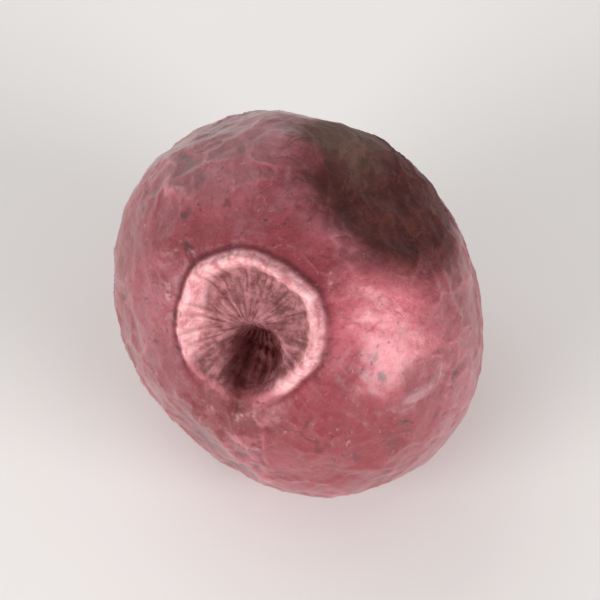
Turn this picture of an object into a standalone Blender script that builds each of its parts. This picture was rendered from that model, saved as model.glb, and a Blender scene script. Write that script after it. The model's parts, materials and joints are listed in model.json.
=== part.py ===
"""Pink peppercorn: one whole dried berry at its real size, in one piece.

Metres, +Z up. The berry lies on a small flat on its underside, with the scar of its stem turned up and to the
front. The origin is on the surface that it lies on, under the middle of the berry.
"""

import math

import bmesh
import bpy
import numpy as np
from mathutils import Matrix, Vector, noise

MM = 0.001

# The round of the berry, in its own frame: the scar of the stem is at +Z and the tip of the style at -Z.
# Across the stem axis it is widest along HEIGHT_TURN, counted round the axis from +X
WIDTH = 5.02 * MM
HEIGHT = 5.90 * MM
HEIGHT_TURN = math.radians(141)
LENGTH = 5.20 * MM

# How it lies: the stem axis leans this far from upright, and turns this far from straight ahead, -Y
STEM_LEAN = math.radians(47.3)
STEM_TURN = math.radians(-24.1)
GROUND_BELOW_MIDDLE = 2.42 * MM
GROUND_BLEND = 0.08 * MM

# Rings of points from the stem's end to the style's: (how far they reach, in degrees, and how many they are)
STRETCHES = ((27, 20), (158, 35), (180, 6))
MERIDIANS = 96

# Waves round the stem axis are each (how many go round, where they start, how strong they are).
# The scar of the stem: a lip round a bowl, with a gap at the front where the lip sinks away
LIP_RADIUS = 0.97 * MM
LIP_RADIUS_WAVES = ((3, 0.5, 0.035 * MM), (7, 2.0, 0.012 * MM))
LIP_RISE = 0.12 * MM
LIP_RISE_WAVES = ((2, 2.6, 0.10), (5, 1.2, 0.22))
LIP_SPREAD = 0.09 * MM
BOWL_DEPTH = 0.20 * MM
BOWL_WALL = 0.30 * MM
GAP_TURN = math.radians(-90)
GAP_ANGLE = math.radians(32)
GAP_LIP_LOSS = 0.95

# In the bowl, a pit that is drawn out into a channel, which rises to the skin through the gap. Beside the pit
# is the stub where the stem broke off
PIT_PLACE = (0.13 * MM, -0.36 * MM)
PIT_RADIUS = 0.52 * MM
PIT_WALL = 0.34 * MM
PIT_DEPTH = 0.72 * MM
CHANNEL_LENGTH = 0.78 * MM
CHANNEL_RADIUS = 0.34 * MM
CHANNEL_DEPTH = 0.14 * MM
STUB_PLACE = (-0.42 * MM, 0.16 * MM)
STUB_RADIUS = 0.13 * MM
STUB_RISE = 0.10 * MM

# The tip of the style: a shallow dimple with a three-lobed nub in it
DIMPLE_RADIUS = 0.75 * MM
DIMPLE_DEPTH = 0.08 * MM
NUB_RADIUS = 0.20 * MM
NUB_LOBES = ((3, 0.9, 0.06 * MM),)
NUB_RISE = 0.15 * MM

# Sides that sank in drying: degrees from the stem, degrees round it, how far from the middle the plane is
# that they sank towards, how soft their edges are, and how hollow they are, as a share of what it takes off
SUNKEN_SIDES = (
    (66, 62, 2.32 * MM, 0.16 * MM, 0.20),
    (62, -106, 2.46 * MM, 0.26 * MM, 0.00),
    (78, 128, 2.75 * MM, 0.26 * MM, 0.00),
    (122, 8, 2.66 * MM, 0.22 * MM, 0.20),
    (112, 98, 2.52 * MM, 0.26 * MM, 0.15),
    (128, 178, 2.66 * MM, 0.24 * MM, 0.10),
    (108, -136, 2.44 * MM, 0.26 * MM, 0.15),
    (110, -62, 2.71 * MM, 0.24 * MM, 0.10),
)

# Slow unevenness of the whole
SWELL_RISE = 0.05 * MM
SWELL_ACROSS = 2.6 * MM
SWELL_PLACE = Vector((3.1, 7.4, 1.9))

# The net of creases in the husk: ridges round shallow cells, stronger in some patches than in others. A ridge
# falls to a third of its height within CREASE_WIDTH, a share of a cell. The net is warped by noise, which is
# read at one place for each axis
CREASE_RISE = 0.10 * MM
CREASE_WIDTH = 0.10
CELL_ACROSS = 1.45 * MM
CELL_PLACE = Vector((11.3, 4.2, 8.6))
WARP_SHARE = 0.30
WARP_ACROSS = 0.85 * MM
WARP_PLACES = (Vector((2.7, 8.1, 5.4)), Vector((6.3, 1.8, 9.5)), Vector((9.9, 4.6, 0.7)))
PATCH_ACROSS = 2.2 * MM
PATCH_MEAN = 0.75
PATCH_PLACE = Vector((5.7, 1.3, 9.2))

# Folds that gather the husk to the lip, each of its own depth, and turn a little as they run out from it
FOLDS = 14
FOLD_DEPTH = 0.040 * MM
FOLD_DEPTH_MEAN = 0.65
FOLD_DEPTH_WAVES = ((3, 0.4, 0.35),)
FOLD_WANDER_WAVES = ((2, 0.8, 0.45), (5, 2.1, 0.30))
FOLD_TURN = 1.3 / LIP_RADIUS
FOLD_REACH = 1.95 * MM

HUSK_COLOUR = (0.33, 0.062, 0.085, 1.0)
HUSK_ROUGHNESS = 0.42

SAME_POINT = 0.0005 * MM
SHARP_EDGE = math.radians(60)


def clear_scene():
    for obj in list(bpy.data.objects):
        bpy.data.objects.remove(obj)


def ease(x):
    """0 below 0, 1 above 1, and a smooth rise between."""
    x = np.clip(x, 0.0, 1.0)
    return x * x * (3.0 - 2.0 * x)


def bell(x):
    return np.exp(-x * x)


def ripple(turn, waves):
    return sum(strength * np.sin(count * turn + start) for count, start, strength in waves)


def direction(from_stem, round_stem):
    """The direction this many degrees from the stem axis and round it."""
    tilt, turn = math.radians(from_stem), math.radians(round_stem)
    return np.array((math.sin(tilt) * math.cos(turn), math.sin(tilt) * math.sin(turn), math.cos(tilt)))


def half_outline():
    """Points of the round berry from the stem's end to the style's, closer together at both."""
    degrees = [0.0]
    for reach, rings in STRETCHES:
        degrees.extend(np.linspace(degrees[-1], reach, rings + 1)[1:])
    angles = np.radians(degrees)
    return np.sin(angles) * WIDTH / 2, np.cos(angles) * LENGTH / 2


def round_berry():
    """The half outline turned about the stem axis, then stretched from its width to its height."""
    mesh = bmesh.new()
    line = [mesh.verts.new((across, 0.0, along)) for across, along in zip(*half_outline())]
    edges = [mesh.edges.new(pair) for pair in zip(line, line[1:])]
    axis = {"cent": (0, 0, 0), "axis": (0, 0, 1), "angle": 2 * math.pi}
    bmesh.ops.spin(mesh, geom=line + edges, steps=MERIDIANS, use_merge=True, **axis)
    bmesh.ops.remove_doubles(mesh, verts=mesh.verts, dist=SAME_POINT)
    bmesh.ops.recalc_face_normals(mesh, faces=mesh.faces)
    along_height = Matrix.Rotation(-HEIGHT_TURN, 4, "Z")
    bmesh.ops.scale(mesh, vec=(HEIGHT / WIDTH, 1.0, 1.0), space=along_height, verts=mesh.verts)
    return mesh


def pit(x, y):
    """How deep the pit and its channel are."""
    x, y = x - PIT_PLACE[0], y - PIT_PLACE[1]
    end_x, end_y = CHANNEL_LENGTH * math.cos(GAP_TURN), CHANNEL_LENGTH * math.sin(GAP_TURN)
    share = np.clip((x * end_x + y * end_y) / CHANNEL_LENGTH**2, 0.0, 1.0)
    off_middle = np.hypot(x - share * end_x, y - share * end_y)
    radius = PIT_RADIUS + share * (CHANNEL_RADIUS - PIT_RADIUS)
    depth = PIT_DEPTH + share * (CHANNEL_DEPTH - PIT_DEPTH)
    return depth * ease((radius - off_middle) / PIT_WALL)


def scar(x, y):
    """How far the skin of the stem's end stands above the round."""
    radius, turn = np.hypot(x, y), np.arctan2(y, x)
    gap = np.exp((np.cos(turn - GAP_TURN) - 1.0) / GAP_ANGLE**2)
    past_lip = radius - LIP_RADIUS - ripple(turn, LIP_RADIUS_WAVES)
    lip = LIP_RISE * (1.0 + ripple(turn, LIP_RISE_WAVES) - GAP_LIP_LOSS * gap) * bell(past_lip / LIP_SPREAD)
    bowl = BOWL_DEPTH * ease(-past_lip / BOWL_WALL)
    stub = STUB_RISE * bell(np.hypot(x - STUB_PLACE[0], y - STUB_PLACE[1]) / STUB_RADIUS)
    return lip - bowl - pit(x, y) + stub


def style_tip(x, y):
    """How far the skin of the style's end stands above the round."""
    radius, turn = np.hypot(x, y), np.arctan2(y, x)
    nub = NUB_RISE * bell((radius / (NUB_RADIUS + ripple(turn, NUB_LOBES))) ** 2)
    return nub - DIMPLE_DEPTH * ease(1.0 - radius / DIMPLE_RADIUS)


def folds(x, y):
    """1 in the folds that run out from the lip, 0 between them, in the bowl and away from the lip."""
    radius, turn = np.hypot(x, y), np.arctan2(y, x)
    across = FOLDS * turn / 2 + ripple(turn, FOLD_WANDER_WAVES) + FOLD_TURN * radius
    depth = 1.0 - np.sqrt(np.abs(np.sin(across)))
    reach = ease((FOLD_REACH - radius) / (FOLD_REACH - LIP_RADIUS)) * ease(2.0 * radius / LIP_RADIUS - 1.0)
    return depth * reach * (FOLD_DEPTH_MEAN + ripple(turn, FOLD_DEPTH_WAVES))


def swell(place):
    """Slow unevenness, -1 to 1."""
    return noise.noise(place / SWELL_ACROSS + SWELL_PLACE)


def warp(place):
    """How the net of creases is pulled about here, -1 to 1 along each axis."""
    return Vector([noise.noise(place / WARP_ACROSS + start) for start in WARP_PLACES])


def crease(place):
    """1 on a crease, 0 in the cells between."""
    warped = place / CELL_ACROSS + CELL_PLACE + WARP_SHARE * warp(place)
    (near, far, *_), (near_middle, far_middle, *_) = noise.voronoi(warped)
    from_ridge = (far**2 - near**2) / (2.0 * (far_middle - near_middle).length)
    patch = ease(PATCH_MEAN + noise.noise(place / PATCH_ACROSS + PATCH_PLACE))
    return patch * math.exp(-from_ridge / CREASE_WIDTH)


def press(points, towards, distance, blend, hollow):
    """Sinks what stands past a plane at this distance from the middle, with a soft edge."""
    past = points @ towards - distance
    closeness = np.clip(1.0 - np.abs(past) * (1.0 + hollow) / blend, 0.0, 1.0)
    sunk = np.minimum(past, -hollow * past) - closeness**2 * blend / 4
    return points + np.outer(sunk - past, towards)


def dried(points):
    """The round berry's points moved to where drying left them."""
    x, y = points[:, 0], points[:, 1]
    radius, stem_side = np.hypot(x, y), points[:, 2] > 0
    places = [Vector(p) for p in points]
    skin = np.where(stem_side, ease(radius / LIP_RADIUS - 1.0), ease(radius / DIMPLE_RADIUS))
    rise = SWELL_RISE * np.array([swell(p) for p in places])
    rise += CREASE_RISE * skin * np.array([crease(p) for p in places])
    rise -= FOLD_DEPTH * stem_side * folds(x, y)
    outward = points / np.linalg.norm(points, axis=1)[:, None]
    ends = np.where(stem_side, scar(x, y), -style_tip(x, y))
    for from_stem, round_stem, distance, blend, hollow in SUNKEN_SIDES:
        points = press(points, direction(from_stem, round_stem), distance, blend, hollow)
    points = points + outward * rise[:, None]
    points[:, 2] += ends
    return points


def laid_down(points):
    """The berry turned to how it lies, flattened where it meets the surface, and moved to the origin."""
    turn = np.array(Matrix.Rotation(STEM_TURN, 3, "Z") @ Matrix.Rotation(STEM_LEAN, 3, "X"))
    down = np.array((0.0, 0.0, -1.0))
    points = press(points @ turn.T, down, GROUND_BELOW_MIDDLE, GROUND_BLEND, 0.0)
    on_ground = np.isclose(points[:, 2], -GROUND_BELOW_MIDDLE, rtol=0.0, atol=SAME_POINT)
    middle = (points.min(axis=0) + points.max(axis=0)) / 2
    points -= (middle[0], middle[1], -GROUND_BELOW_MIDDLE)
    points[on_ground, 2] = 0.0
    return points


def join_flat(mesh):
    """The faces of the flat underside become one face."""
    flat = [f for f in mesh.faces if all(v.co.z == 0.0 for v in f.verts)]
    bmesh.ops.dissolve_faces(mesh, faces=flat, use_verts=True)


def husk_material():
    material = bpy.data.materials.new("husk")
    material.use_nodes = True
    shader = material.node_tree.nodes["Principled BSDF"]
    shader.inputs["Base Color"].default_value = HUSK_COLOUR
    shader.inputs["Roughness"].default_value = HUSK_ROUGHNESS
    shader.inputs["Metallic"].default_value = 0.0
    return material


def make_peppercorn():
    shape = round_berry()
    points = np.array([v.co for v in shape.verts])
    for vert, place in zip(shape.verts, laid_down(dried(points))):
        vert.co = place
    join_flat(shape)
    mesh = bpy.data.meshes.new("peppercorn")
    shape.to_mesh(mesh)
    shape.free()
    mesh.shade_smooth()
    mesh.set_sharp_from_angle(angle=SHARP_EDGE)
    mesh.materials.append(husk_material())
    bpy.context.scene.collection.objects.link(bpy.data.objects.new("peppercorn", mesh))


clear_scene()
make_peppercorn()
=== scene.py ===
"""Looks of the pink peppercorn: the dried husk in fine detail, with the pale lip of its stem scar."""

import json
import math

import bpy
import numpy as np
from mathutils import Matrix, Vector, noise

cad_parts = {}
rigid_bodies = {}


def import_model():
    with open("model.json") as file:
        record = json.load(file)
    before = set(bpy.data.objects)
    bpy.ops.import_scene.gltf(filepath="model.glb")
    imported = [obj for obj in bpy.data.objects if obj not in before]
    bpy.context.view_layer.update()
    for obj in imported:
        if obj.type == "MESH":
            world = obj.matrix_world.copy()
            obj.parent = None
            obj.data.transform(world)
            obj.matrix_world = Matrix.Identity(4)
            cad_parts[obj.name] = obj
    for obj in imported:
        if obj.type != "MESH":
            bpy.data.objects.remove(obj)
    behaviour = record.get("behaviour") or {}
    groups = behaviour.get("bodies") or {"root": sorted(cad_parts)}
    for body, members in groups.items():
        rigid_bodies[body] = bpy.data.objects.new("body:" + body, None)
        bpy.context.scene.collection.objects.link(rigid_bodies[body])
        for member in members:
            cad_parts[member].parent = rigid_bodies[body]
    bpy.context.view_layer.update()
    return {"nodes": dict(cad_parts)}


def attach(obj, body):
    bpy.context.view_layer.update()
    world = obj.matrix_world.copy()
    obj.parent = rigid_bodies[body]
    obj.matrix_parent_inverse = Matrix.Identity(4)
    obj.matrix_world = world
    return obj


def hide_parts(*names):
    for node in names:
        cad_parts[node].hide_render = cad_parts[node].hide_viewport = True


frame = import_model()

MM = 0.001

# The berry's own frame: the middle of its round, with the stem scar at +Z, leaning and turned as it lies
MIDDLE = Vector((0.034, -0.017, 2.42)) * MM
STEM_LEAN = math.radians(47.3)
STEM_TURN = math.radians(-24.1)
STEM = Matrix.Rotation(STEM_TURN, 3, "Z") @ Matrix.Rotation(STEM_LEAN, 3, "X")

# The mesh of the husk: a round of meridians and rings, with the rings drawn together at the scar
MERIDIANS = 392
RINGS = 246
ROUND_RADIUS = 3.4 * MM
DRAWN_SHARE = 0.48
DRAWN_REACH = math.radians(95)
SAME_POINT = 0.001 * MM

# From here to the colours all sizes are in millimetres, in the berry's own frame.
# Waves round the stem axis are each (how many go round, where they start, how strong they are).
# Lumps are each (how high, how far across, and the noise's own roughness, step and number of layers)
LIP_RADIUS = 0.97
LIP_WAVES = ((3, 0.5, 0.035), (7, 2.0, 0.012))
LIP_HALF_WIDTH = 0.080
RAGGED_EDGE = (0.024, 0.25, (0.9, 2.0, 2))
RAGGED_SLANT = 0.4
GAP_TURN = math.radians(-90)
GAP_ANGLE = math.radians(32)

# The thin edge of the lip: a crest with nicks, each (how close, how deep), and a groove on both sides
RIM_RISE = 0.060
RIM_SPREAD = 0.042
RIM_NICKS = 0.55
NICKS = ((3.0, 1.0), (8.0, 0.5))
GROOVE_DEPTH = 0.022
GROOVE_MEAN = 0.8
GROOVE_NICKS = 0.5
GROOVE_SPREAD = 0.045
OUTER_GROOVE = 0.170
INNER_GROOVE = -0.130

PIT_PLACE = (0.13, -0.36)
PIT_RADIUS = 0.52
PIT_WALL = 0.30
PIT_LUMPS = (0.05, 0.16, (0.8, 2.0, 3))
CHANNEL_LENGTH = 0.78
CHANNEL_RADIUS = 0.30
CHANNEL_LOSS = 0.25

PUCKERS = 34
PUCKER_DEPTH = 0.022
PUCKER_DEPTH_MEAN = 0.6
PUCKER_DEPTH_WAVES = ((2, 1.1, 0.4),)
PUCKER_WANDER_WAVES = ((3, 0.4, 0.8), (5, 1.9, 0.5))
PUCKER_REACH = 1.9
PUCKER_TURN = 1.6

FIBRES = 52
FIBRE_RISE = 0.012
FIBRE_WANDER_WAVES = ((4, 0.3, 0.9), (7, 2.2, 0.6))
FIBRE_BEND_WAVES = ((3.0, 0.0, 2.2),)
FIBRES_BELOW_LIP = 0.3
FIBRES_OFF_MIDDLE = 0.3

# The fine net of creases: ridges round small cells, in patches. It is warped by noise, which is read at one
# place for each axis
NET_ACROSS = 0.62
NET_RISE = 0.036
NET_WIDTH = 0.075
NET_PLACE = Vector((4.7, 9.1, 2.2))
NET_WARP = 0.35
NET_WARP_ACROSS = 0.4
NET_WARP_PLACES = (Vector((3.3, 7.2, 1.6)), Vector((8.4, 2.9, 6.1)), Vector((5.8, 4.5, 9.7)))
NET_PATCH_ACROSS = 1.5
NET_PATCH_MEAN = 0.66
NET_PATCH_CONTRAST = 1.3

# The skin's relief begins outside the lip, and fades out just above the ground
SKIN_STARTS = 0.125
SKIN_WHOLE = 0.375
CLEAR_OF_GROUND = 0.25
WRINKLES = (0.022, 0.55, (0.9, 2.1, 3))
FINE_WRINKLES = (0.007, 0.19, (0.8, 2.0, 2))

# What stands above or below its neighbours: (how many rounds they are averaged, the height that counts as 1)
FINE_RELIEF = (12, 0.02)
BROAD_RELIEF = (160, 0.06)

# The pale lip is broader on the inner left side, where it is widened into a painted highlight, and ends at
# the gap. Just outside it the skin is dry
HIGHLIGHT_LIP_TURN = math.radians(-165)
HIGHLIGHT_LIP_SHARE = 1.6
HIGHLIGHT_LIP_POWER = 3
PALE_LIP_REACH = 1.8
LIP_BY_GAP = 2.3
LIP_LOST_TO_GAP = 4.3
DRY_WHOLE = 1.5
DRY_REACH = 0.24
STREAKS_ROUND = 13
STREAKS_ALONG = 3
TIP_RADIUS = 0.30

# Coloured patches are each (where the middle is, how far from it the patch ends, how far it is whole), before
# their edges are made uneven: the brown stain on the side that sank most, which also holds painted shade, its
# grey far edge, the smear below the gap in the lip, partly painted shade, the painted highlight beside the
# scar, and the deep red side below it
STAIN_AND_SHADE = ((0.92, 2.35, 0.64), 2.50, 1.80)
STAIN_AND_SHADE_EDGE = ((-0.20, 2.50, 0.42), 1.90, 1.00)
SMEAR_AND_SHADE = ((-0.02, -1.32, 2.24), 1.25, 0.35)
ROSE_HIGHLIGHT = ((1.78, 0.52, 1.84), 1.80, 0.85)
CRIMSON = ((1.80, -1.10, 1.55), 2.50, 1.20)

# Two sizes of specks: (how many cells to a millimetre, how far a speck reaches in its cell, and is whole)
SPECKS = ((5.5, 0.22, 0.044), (2.3, 0.25, 0.050))
SPECK_SHAKE = 0.22
SKIN_BUMP = 0.034


def rgb(red, green, blue):
    """A colour as it looks on a screen, 0 to 255, turned into light."""
    light = [(c / 255 + 0.055) / 1.055 for c in (red, green, blue)]
    return (*(c**2.4 for c in light), 1.0)


DEEP_SKIN = rgb(138, 44, 56)
PALE_SKIN = rgb(168, 78, 90)
MOTTLED_SKIN = rgb(120, 36, 45)
MAUVE_BLOOM = rgb(164, 106, 116)
RAISED_SKIN = rgb(188, 116, 126)
SUNKEN_SHADE = rgb(92, 30, 38)
RIDGE_TOP = rgb(204, 124, 132)
FOLD_SHADE = rgb(84, 26, 32)
CRIMSON_SKIN = rgb(136, 30, 44)
CREASE_SHADE_COLOUR = rgb(94, 24, 32)
ROSE_HIGHLIGHT_COLOUR = rgb(234, 122, 137)
DARK_STAIN_AND_SHADE = rgb(60, 13, 8)
WORN_STAIN_AND_SHADE = rgb(88, 38, 26)
GREY_STAIN_AND_SHADE = rgb(104, 88, 72)
BROWN_SMEAR_AND_SHADE = rgb(98, 42, 40)
FRECKLE = rgb(92, 32, 38)
PALE_DUST = rgb(200, 160, 162)
DARK_SPECK = rgb(70, 22, 28)
BROWN_TIP = rgb(74, 30, 26)
DARK_BOWL = rgb(124, 68, 70)
PALE_BOWL = rgb(184, 122, 127)
BOWL_STREAK = rgb(92, 46, 44)
PIT_FLOOR = rgb(112, 46, 46)
PINK_PAPER = rgb(214, 134, 142)
PALE_PAPER = rgb(246, 190, 193)
PAPER_STREAK = rgb(168, 94, 96)
FLOOR_COLOUR = rgb(250, 248, 246)
ROOM_COLOUR = rgb(236, 234, 232)

# The stage, in metres and watts. VIEW_REACH is the nearest and the farthest that the camera sees. Lamps are
# each (name, turn to the right of the front, rise above level, how far across, how strong)
FLOOR_RADIUS = 0.25
FLOOR_SIDES = 96
FLOOR_ROUGHNESS = 0.8
ROOM_STRENGTH = 0.43
VIEW_RISE = math.radians(55)
VIEW_DISTANCE = 0.0485
VIEW_REACH = (0.001, 1.0)
LENS = 200
LAMP_DISTANCE = 0.15
LAMPS = (
    ("left_lamp", math.radians(-54), math.radians(16), 0.10, 0.168),
    ("right_lamp", math.radians(54), math.radians(16), 0.10, 0.168),
    ("back_lamp", math.radians(-145), math.radians(35), 0.20, 0.070),
)


def ease(x):
    """0 below 0, 1 above 1, and a smooth rise between."""
    x = np.clip(x, 0.0, 1.0)
    return x * x * (3.0 - 2.0 * x)


def bell(x):
    return np.exp(-x * x)


def ripple(turn, waves):
    return sum(strength * np.sin(count * turn + start) for count, start, strength in waves)


def lumps(places, kind):
    """The height of this kind of lumps at each place."""
    rise, across, layers = kind
    return rise * np.array([noise.fractal(place / across, *layers) for place in places])


def pick(obj):
    """Makes obj the only selected object and the active one."""
    bpy.ops.object.select_all(action="DESELECT")
    obj.select_set(True)
    bpy.context.view_layer.objects.active = obj


def apply_modifier(obj, kind, **settings):
    pick(obj)
    modifier = obj.modifiers.new(kind.lower(), kind)
    for name, value in settings.items():
        setattr(modifier, name, value)
    bpy.ops.object.modifier_apply(modifier=modifier.name)


def rounded_copy(node):
    """A copy of the solid with its facets rounded off, for the husk to shrink onto."""
    pick(node)
    bpy.ops.object.duplicate()
    form = bpy.context.object
    form.name = "form"
    bpy.ops.object.parent_clear(type="CLEAR_KEEP_TRANSFORM")
    bpy.ops.object.mode_set(mode="EDIT")
    bpy.ops.mesh.select_all(action="SELECT")
    bpy.ops.mesh.remove_doubles(threshold=SAME_POINT)
    bpy.ops.mesh.tris_convert_to_quads()
    bpy.ops.object.mode_set(mode="OBJECT")
    apply_modifier(form, "SUBSURF", levels=2, render_levels=2)
    return form


def points_of(obj):
    points = np.empty(len(obj.data.vertices) * 3)
    obj.data.vertices.foreach_get("co", points)
    return points.reshape(-1, 3)


def outward_of(obj):
    normals = np.empty(len(obj.data.vertices) * 3)
    obj.data.vertices.foreach_get("normal", normals)
    return normals.reshape(-1, 3)


def move_points(obj, points):
    obj.data.vertices.foreach_set("co", points.ravel())
    obj.data.update()


def own_places(points):
    """Points in the berry's own frame, in millimetres."""
    return (points - np.array(MIDDLE)) @ np.array(STEM) / MM


def from_own(places):
    return places @ np.array(STEM).T * MM + np.array(MIDDLE)


def draw_rings_together(obj):
    """Moves the rings towards the stem's end, where the scar needs them close."""
    places = own_places(points_of(obj))
    across = np.hypot(places[:, 0], places[:, 1])
    angle = np.arctan2(across, places[:, 2])
    drawn = angle * (1.0 - DRAWN_SHARE * (1.0 - ease(angle / DRAWN_REACH)))
    reach = np.linalg.norm(places, axis=1)
    off_axis = across > SAME_POINT / MM
    share = np.divide(np.sin(drawn) * reach, across, out=np.zeros_like(across), where=off_axis)
    places[:, 0] *= share
    places[:, 1] *= share
    places[:, 2] = np.cos(drawn) * reach
    move_points(obj, from_own(places))


def stem_polar(places):
    """How far each place is from the stem axis, its turn round it, and how far it is past the lip."""
    radius = np.hypot(places[:, 0], places[:, 1])
    turn = np.arctan2(places[:, 1], places[:, 0])
    past_lip = radius - LIP_RADIUS - ripple(turn, LIP_WAVES)
    around_lip = np.column_stack((np.cos(turn), np.sin(turn), RAGGED_SLANT * radius))
    past_lip += lumps([Vector(place) for place in around_lip], RAGGED_EDGE)
    past_lip[places[:, 2] < 0] = LIP_RADIUS
    return radius, turn, past_lip


def gap_in_lip(turn):
    return np.exp((np.cos(turn - GAP_TURN) - 1.0) / GAP_ANGLE**2)


def rim(turn, past_lip):
    """The thin papery edge of the lip, nicked all round, with a groove at its foot on both sides."""
    ring = [Vector((math.cos(t), math.sin(t), 0.0)) for t in turn]
    nicks = np.array([sum(depth * noise.noise(close * place) for close, depth in NICKS) for place in ring])
    crest = RIM_RISE * bell(past_lip / RIM_SPREAD) * (1.0 + RIM_NICKS * nicks)
    grooves = sum(bell((past_lip - groove) / GROOVE_SPREAD) for groove in (OUTER_GROOVE, INNER_GROOVE))
    sunken = GROOVE_DEPTH * grooves * (GROOVE_MEAN + GROOVE_NICKS * nicks)
    return (1.0 - gap_in_lip(turn)) * (crest - sunken)


def puckers(radius, turn, past_lip):
    """Fine folds that run out from the lip."""
    across = PUCKERS * turn / 2 + ripple(turn, PUCKER_WANDER_WAVES) + PUCKER_TURN * radius
    fold = 1.0 - np.sqrt(np.abs(np.sin(across)))
    strength = PUCKER_DEPTH_MEAN + ripple(turn, PUCKER_DEPTH_WAVES)
    reach = ease((PUCKER_REACH - radius) / (PUCKER_REACH - LIP_RADIUS)) * ease(past_lip / LIP_HALF_WIDTH)
    return -PUCKER_DEPTH * strength * fold * reach


def fibres(radius, turn, past_lip):
    """Thin fibres down the inside of the bowl."""
    across = FIBRES * turn / 2 + ripple(turn, FIBRE_WANDER_WAVES) + ripple(radius, FIBRE_BEND_WAVES)
    reach = ease(-past_lip / LIP_HALF_WIDTH - FIBRES_BELOW_LIP) * ease(radius / FIBRES_OFF_MIDDLE)
    return FIBRE_RISE * np.sin(across) * reach


def in_pit(places):
    """1 in the pit, 0 beyond its wall, and a little less than 1 along the channel out through the gap."""
    x, y = places[:, 0] - PIT_PLACE[0], places[:, 1] - PIT_PLACE[1]
    share = np.clip(-y / CHANNEL_LENGTH, 0.0, 1.0)
    off_middle = np.hypot(x, y + share * CHANNEL_LENGTH)
    radius = PIT_RADIUS + share * (CHANNEL_RADIUS - PIT_RADIUS)
    return ease((radius - off_middle) / PIT_WALL) * (1.0 - CHANNEL_LOSS * share) * (places[:, 2] > 0)


def net_warp(place):
    """How the fine net is pulled about here, -1 to 1 along each axis."""
    return Vector([noise.noise(place / NET_WARP_ACROSS + start) for start in NET_WARP_PLACES])


def fine_net(place):
    """1 on a fine crease, 0 in the cells between, and nothing outside its patches."""
    warped = place / NET_ACROSS + NET_PLACE + NET_WARP * net_warp(place)
    (near, far, *_), (near_middle, far_middle, *_) = noise.voronoi(warped)
    from_ridge = (far**2 - near**2) / (2.0 * (far_middle - near_middle).length)
    patch_noise = noise.noise(place / NET_PATCH_ACROSS + NET_PLACE)
    return ease(NET_PATCH_MEAN + NET_PATCH_CONTRAST * patch_noise) * math.exp(-from_ridge / NET_WIDTH)


def sculpt(obj):
    """Gives the husk the relief that is too fine for the solid."""
    points = points_of(obj)
    own = own_places(points)
    radius, turn, past_lip = stem_polar(own)
    places = [Vector(place) for place in own]
    skin = ease((past_lip - SKIN_STARTS) / (SKIN_WHOLE - SKIN_STARTS))
    rise = NET_RISE * skin * np.array([fine_net(place) for place in places])
    rise += skin * (lumps(places, WRINKLES) + lumps(places, FINE_WRINKLES))
    rise += rim(turn, past_lip)
    rise += puckers(radius, turn, past_lip)
    rise += fibres(radius, turn, past_lip)
    rise += in_pit(own) * lumps(places, PIT_LUMPS)
    rise *= ease(points[:, 2] / (CLEAR_OF_GROUND * MM))
    points = points + outward_of(obj) * (rise * MM)[:, None]
    points[:, 2] = np.maximum(points[:, 2], 0.0)
    move_points(obj, points)


def spread(values, edges, rounds):
    """Each point's value averaged with its neighbours', this many times over."""
    first, second = edges.T
    neighbours = np.bincount(edges.ravel(), minlength=len(values))
    for _ in range(rounds):
        total = np.bincount(first, values[second], len(values))
        total += np.bincount(second, values[first], len(values))
        values = total / neighbours
    return values


def keep_value(obj, name, values):
    attribute = obj.data.attributes.new(name, "FLOAT", "POINT")
    attribute.data.foreach_set("value", np.asarray(values, np.float32))


def mark_relief(obj, places):
    """Values that say what stands above its neighbours, near and farther off."""
    edges = np.empty(len(obj.data.edges) * 2, int)
    obj.data.edges.foreach_get("vertices", edges)
    edges = edges.reshape(-1, 2)
    height = np.linalg.norm(places, axis=1)
    for name, (rounds, full) in (("fine_relief", FINE_RELIEF), ("broad_relief", BROAD_RELIEF)):
        keep_value(obj, name, (height - spread(height, edges, rounds)) / full)


def mark_scar(obj, places):
    """Values that say where the parts of the scar and the tip of the style are."""
    radius, turn, past_lip = stem_polar(places)
    # The inner left of the lip is widened into a painted highlight
    towards_highlight = np.maximum(np.cos(turn - HIGHLIGHT_LIP_TURN), 0.0) ** HIGHLIGHT_LIP_POWER
    half_width = LIP_HALF_WIDTH * (1.0 + HIGHLIGHT_LIP_SHARE * np.where(past_lip < 0, towards_highlight, 0.0))
    whole = ease(LIP_BY_GAP - LIP_LOST_TO_GAP * gap_in_lip(turn))
    x, y = STREAKS_ROUND * np.cos(turn), STREAKS_ROUND * np.sin(turn)
    ring = np.column_stack((x, y, STREAKS_ALONG * radius))
    keep_value(obj, "lip", ease(PALE_LIP_REACH - np.abs(past_lip) / half_width) * whole)
    keep_value(obj, "bowl", ease(-past_lip / LIP_HALF_WIDTH))
    keep_value(obj, "pit", in_pit(places))
    keep_value(obj, "dry", ease(DRY_WHOLE - past_lip / DRY_REACH))
    keep_value(obj, "streaks", [noise.noise(Vector(place)) for place in ring])
    keep_value(obj, "style_tip", bell(radius / TIP_RADIUS) * (places[:, 2] < 0))


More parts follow.
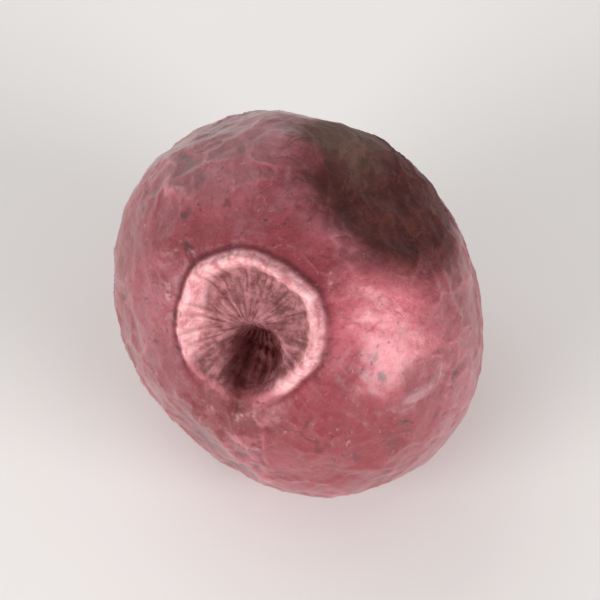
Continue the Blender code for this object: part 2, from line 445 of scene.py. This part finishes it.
def dried_husk():
    """The husk: a round of close rings, shrunk onto the solid's form and then sculpted."""
    form = rounded_copy(frame["nodes"]["peppercorn"])
    bpy.ops.object.select_all(action="DESELECT")
    round_of_rings = {"segments": MERIDIANS, "ring_count": RINGS, "radius": ROUND_RADIUS}
    bpy.ops.mesh.primitive_uv_sphere_add(location=MIDDLE, rotation=STEM.to_euler(), **round_of_rings)
    husk = bpy.context.object
    husk.name = husk.data.name = "dried_husk"
    bpy.ops.object.transform_apply()
    draw_rings_together(husk)
    apply_modifier(husk, "SHRINKWRAP", target=form, wrap_method="PROJECT", use_negative_direction=True)
    apply_modifier(husk, "SMOOTH", factor=0.5, iterations=4)
    bpy.data.objects.remove(form)
    sculpt(husk)
    places = own_places(points_of(husk))
    mark_relief(husk, places)
    mark_scar(husk, places)
    pick(husk)
    bpy.ops.object.shade_smooth()
    husk.data.materials.append(husk_finish())
    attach(husk, "root")
    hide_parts("peppercorn")


class Finish:
    """A material, to which nodes are added one by one. Its patterns read the berry's own frame."""

    def __init__(self, name):
        self.material = bpy.data.materials.new(name)
        self.material.use_nodes = True
        self.tree = self.material.node_tree
        self.shader = self.tree.nodes["Principled BSDF"]

    def add(self, kind, inputs=(), **settings):
        node = self.tree.nodes.new("ShaderNode" + kind)
        for name, value in settings.items():
            setattr(node, name, value)
        for socket, value in dict(inputs).items():
            self.put(node.inputs[socket], value)
        return node

    def put(self, socket, value):
        if isinstance(value, bpy.types.NodeSocket):
            self.tree.links.new(value, socket)
        else:
            socket.default_value = value

    def set_shader(self, values):
        for name, value in values.items():
            self.put(self.shader.inputs[name], value)

    def own_frame(self):
        place = self.add("TexCoord").outputs["Object"]
        inputs = {"Vector": place, "Location": MIDDLE, "Rotation": STEM.to_euler(), "Scale": (MM, MM, MM)}
        return self.add("Mapping", inputs, vector_type="TEXTURE").outputs["Vector"]

    def value_of(self, name):
        return self.add("Attribute", attribute_name=name).outputs["Fac"]

    def work_out(self, operation, first, second=0.0):
        return self.add("Math", {0: first, 1: second}, operation=operation).outputs[0]

    def times(self, first, second):
        return self.work_out("MULTIPLY", first, second)

    def plus(self, first, second):
        return self.work_out("ADD", first, second)

    def grain(self, place, scale, detail=4.0, roughness=0.55, distortion=0.0, **settings):
        """Cloudy noise, so many lumps to a millimetre."""
        inputs = {"Vector": place, "Scale": scale, "Detail": detail, "Roughness": roughness}
        return self.add("TexNoise", inputs | {"Distortion": distortion}, **settings).outputs[0]

    def cells(self, place, scale, feature="F1"):
        """How far each place is from the middle of its cell, with so many cells to a millimetre."""
        return self.add("TexVoronoi", {"Vector": place, "Scale": scale}, feature=feature).outputs["Distance"]

    def shaken(self, place, scale, reach):
        """Places pushed about a little, so that a pattern read there has no even edges."""
        shake = self.add("TexNoise", {"Vector": place, "Scale": scale, "Detail": 3.0}).outputs["Color"]
        shake = self.add("VectorMath", {0: shake, 1: (reach, reach, reach)}, operation="MULTIPLY").outputs[0]
        return self.add("VectorMath", {0: place, 1: shake}, operation="ADD").outputs[0]

    def between(self, value, low, high, start=0.0, end=1.0):
        """start where value is at low, end where it is at high, and a smooth change between."""
        inputs = {"Value": value, "From Min": low, "From Max": high, "To Min": start, "To Max": end}
        return self.add("MapRange", inputs, interpolation_type="SMOOTHSTEP").outputs["Result"]

    def patch(self, place, patch, unevenness):
        """1 round the middle of the patch and 0 outside it, with the edge made uneven."""
        middle, edge, core = patch
        away = self.add("VectorMath", {0: place, 1: middle}, operation="DISTANCE").outputs["Value"]
        return self.between(self.plus(away, unevenness), edge, core)

    def mix(self, share, under, over):
        return self.add("Mix", {0: share, 6: under, 7: over}, data_type="RGBA").outputs[2]

    def tint(self, under, over, mask, strength):
        """Lays the colour over on the colour under, where the mask is, this strongly."""
        return self.mix(self.times(mask, strength), under, over)


def skin_colour(look, place, mottle):
    """Clouded dusky rose with a mauve bloom, paler where it stands high, and painted shade where it lies low.
    """
    high, broad = look.value_of("fine_relief"), look.value_of("broad_relief")
    clouds = look.grain(place, scale=0.55, detail=5.0, roughness=0.6, distortion=0.4)
    bloom = look.grain(place, scale=1.1, detail=6.0, roughness=0.7, distortion=0.8)
    colour = look.mix(look.between(clouds, 0.35, 0.65), DEEP_SKIN, PALE_SKIN)
    colour = look.tint(colour, MOTTLED_SKIN, mottle, strength=0.5)
    colour = look.tint(colour, MAUVE_BLOOM, look.between(bloom, 0.44, 0.68), strength=0.5)
    colour = look.mix(look.between(broad, 0.1, 1.3, end=0.45), colour, RAISED_SKIN)
    # Painted shade in the broad dents and in the fine folds
    colour = look.mix(look.between(broad, -0.2, -1.4, end=0.75), colour, SUNKEN_SHADE)
    colour = look.mix(look.between(high, 0.2, 1.3, end=0.5), colour, RIDGE_TOP)
    return look.mix(look.between(high, -0.1, -1.0, end=0.65), colour, FOLD_SHADE)


def soft_creases(look, place):
    """1 along soft wandering lines, which come and go and stay off the scar."""
    clouds = look.grain(place, scale=1.25, detail=2.5, roughness=0.5, distortion=0.3)
    off_line = look.work_out("ABSOLUTE", look.plus(clouds, -0.5))
    lines = look.between(off_line, 0.0, 0.030, start=1.0, end=0.0)
    lines = look.times(lines, look.between(look.grain(place, scale=2.2, detail=3.0), 0.42, 0.60))
    return look.times(lines, look.between(look.value_of("dry"), 0.0, 1.0, start=1.0, end=0.0))


def stain_and_shade_colour(look, place, ragged):
    """Old brown skin that also holds the painted shade of neighbouring berries, worn paler in spots and grey
    at its far edge.
    """
    worn = look.between(look.grain(place, scale=3.5, detail=6.0, roughness=0.7), 0.42, 0.68)
    colour = look.mix(worn, DARK_STAIN_AND_SHADE, WORN_STAIN_AND_SHADE)
    return look.tint(colour, GREY_STAIN_AND_SHADE, look.patch(place, STAIN_AND_SHADE_EDGE, ragged), strength=0.6)


def specked(look, place, colour, stain_and_shade):
    """The colour with freckles, pale dust and a few dark specks on it."""
    freckles = look.between(look.grain(place, scale=17.0, detail=3.0, roughness=0.6), 0.50, 0.68)
    colour = look.tint(colour, FRECKLE, freckles, strength=0.30)
    dust = look.between(look.grain(place, scale=12.0, detail=4.0, roughness=0.7, distortion=0.3), 0.60, 0.74)
    dust = look.times(dust, look.between(stain_and_shade, 0.0, 1.0, start=0.45, end=0.08))
    colour = look.mix(dust, colour, PALE_DUST)
    few = look.between(look.grain(place, scale=1.3, detail=2.0), 0.43, 0.58)
    shaken = look.shaken(place, scale=7.0, reach=SPECK_SHAKE)
    for scale, reach, core in SPECKS:
        specks = look.between(look.cells(shaken, scale), reach, core)
        colour = look.tint(colour, DARK_SPECK, look.times(specks, few), strength=0.8)
    return look.tint(colour, BROWN_TIP, look.value_of("style_tip"), strength=0.85)


def scar_colour(look, place, colour):
    """The colour with the scar on it: a streaked bowl, a dark pit and a dry papery lip."""
    streaks = look.value_of("streaks")
    worn = look.between(look.grain(place, scale=6.0, detail=5.0, roughness=0.7), 0.35, 0.65)
    inside = look.mix(worn, DARK_BOWL, PALE_BOWL)
    inside = look.mix(look.between(streaks, 0.0, -0.5, end=0.6), inside, BOWL_STREAK)
    colour = look.mix(look.value_of("bowl"), colour, inside)
    colour = look.tint(colour, PIT_FLOOR, look.value_of("pit"), strength=0.85)
    faded = look.between(look.grain(place, scale=5.0, detail=6.0, roughness=0.7), 0.34, 0.62)
    paper = look.mix(faded, PINK_PAPER, PALE_PAPER)
    paper = look.mix(look.between(streaks, 0.05, -0.5, end=0.40), paper, PAPER_STREAK)
    lip = look.times(look.value_of("lip"), look.between(faded, 0.0, 0.5, start=0.75, end=1.0))
    return look.mix(lip, colour, paper)


def skin_relief(look, place, creases):
    """Fine pebbles, grain and ridges, with the soft creases sunk into them."""
    relief = look.times(look.cells(place, scale=7.0, feature="SMOOTH_F1"), 0.5)
    relief = look.plus(relief, look.grain(place, scale=8.0, detail=4.0, roughness=0.55))
    ridges = look.grain(place, 2.2, 4.0, 0.6, 0.5, noise_type="RIDGED_MULTIFRACTAL")
    relief = look.plus(relief, look.times(ridges, 0.3))
    relief = look.plus(relief, look.times(look.grain(place, scale=22.0, detail=2.0), 0.22))
    relief = look.plus(relief, look.times(creases, -0.45))
    bump = look.add("Bump", {"Height": relief, "Distance": SKIN_BUMP * MM, "Strength": 1.0})
    return bump.outputs["Normal"]


def husk_finish():
    """Dusky rose skin with crimson depths, painted shade in dents and creases, a painted highlight by the
    scar, and a brown stain and smear that partly paint shade; glossy but for the dry scar and the stains.
    """
    look = Finish("dried_husk")
    place = look.own_frame()
    mottle = look.between(look.grain(place, scale=3.2, detail=6.0, roughness=0.7), 0.38, 0.66)
    ragged = look.times(look.grain(place, scale=1.3, detail=6.0, roughness=0.65, distortion=0.6), 1.4)
    crimson, rose_highlight = look.patch(place, CRIMSON, ragged), look.patch(place, ROSE_HIGHLIGHT, ragged)
    stain_and_shade, smear_and_shade = look.patch(place, STAIN_AND_SHADE, ragged), look.patch(place, SMEAR_AND_SHADE, mottle)
    creases = soft_creases(look, place)
    # Painted shade along the soft creases, stronger on the deep red side
    crease_shade = look.times(creases, look.between(crimson, 0.0, 1.0, start=0.16, end=0.50))

    colour = skin_colour(look, place, mottle)
    colour = look.tint(colour, CRIMSON_SKIN, crimson, strength=0.75)
    colour = look.mix(crease_shade, colour, CREASE_SHADE_COLOUR)
    # Painted highlight: pale rose where the right lamp's highlight falls
    colour = look.tint(colour, ROSE_HIGHLIGHT_COLOUR, rose_highlight, strength=0.78)
    # Brown stain, which also paints the shade of neighbouring berries on this side
    colour = look.tint(colour, stain_and_shade_colour(look, place, ragged), stain_and_shade, strength=0.94)
    # Brown smear below the gap in the lip, partly painted shade
    colour = look.tint(colour, BROWN_SMEAR_AND_SHADE, smear_and_shade, strength=0.6)
    colour = scar_colour(look, place, specked(look, place, colour, stain_and_shade))

    dry = look.value_of("dry")
    satin = look.grain(place, scale=2.4, detail=5.0, roughness=0.6)
    satin = look.between(satin, 0.3, 0.7, start=0.34, end=0.48)
    roughness = look.plus(satin, look.times(look.plus(dry, stain_and_shade), 0.20))
    dull = look.work_out("MAXIMUM", look.work_out("MAXIMUM", dry, smear_and_shade), stain_and_shade)
    look.set_shader({
        "Base Color": colour,
        "Roughness": roughness,
        "Coat Weight": look.between(dull, 0.0, 1.0, start=0.95, end=0.06),
        "Coat Roughness": 0.33,
        "Specular IOR Level": 0.30,
        "Sheen Weight": 0.03,
        "Sheen Roughness": 0.5,
        "Subsurface Weight": 0.07,
        "Subsurface Radius": (1.0, 0.35, 0.3),
        "Subsurface Scale": 0.25 * MM,
        "Normal": skin_relief(look, place, creases),
    })
    return look.material


def floor_finish():
    look = Finish("pale_floor")
    look.set_shader({"Base Color": FLOOR_COLOUR, "Roughness": FLOOR_ROUGHNESS})
    return look.material


def around(turn, rise, distance):
    """A place at this turn to the right of the front and this rise above level, seen from the berry."""
    level = distance * math.cos(rise)
    return MIDDLE + Vector((level * math.sin(turn), -level * math.cos(turn), distance * math.sin(rise)))


def face_berry(obj, place):
    obj.location = place
    obj.rotation_euler = (MIDDLE - place).to_track_quat("-Z", "Y").to_euler()


def set_floor():
    bpy.ops.object.select_all(action="DESELECT")
    bpy.ops.mesh.primitive_circle_add(vertices=FLOOR_SIDES, radius=FLOOR_RADIUS, fill_type="NGON")
    floor = bpy.context.object
    floor.name = "floor"
    floor.data.materials.append(floor_finish())


def set_lamp(name, turn, rise, size, power):
    data = bpy.data.lights.new(name, "AREA")
    data.shape = "DISK"
    data.size = size
    data.energy = power
    lamp = bpy.data.objects.new(name, data)
    bpy.context.scene.collection.objects.link(lamp)
    face_berry(lamp, around(turn, rise, LAMP_DISTANCE))


def set_room():
    world = bpy.data.worlds.new("pale_room")
    world.use_nodes = True
    world.node_tree.nodes["Background"].inputs["Color"].default_value = ROOM_COLOUR
    world.node_tree.nodes["Background"].inputs["Strength"].default_value = ROOM_STRENGTH
    bpy.context.scene.world = world
    bpy.context.scene.view_settings.view_transform = "Standard"


def set_camera():
    data = bpy.data.cameras.new("camera")
    data.lens = LENS
    data.clip_start, data.clip_end = VIEW_REACH
    camera = bpy.data.objects.new("camera", data)
    bpy.context.scene.collection.objects.link(camera)
    face_berry(camera, around(0.0, VIEW_RISE, VIEW_DISTANCE))
    bpy.context.scene.camera = camera


dried_husk()
set_floor()
for lamp_settings in LAMPS:
    set_lamp(*lamp_settings)
set_room()
set_camera()
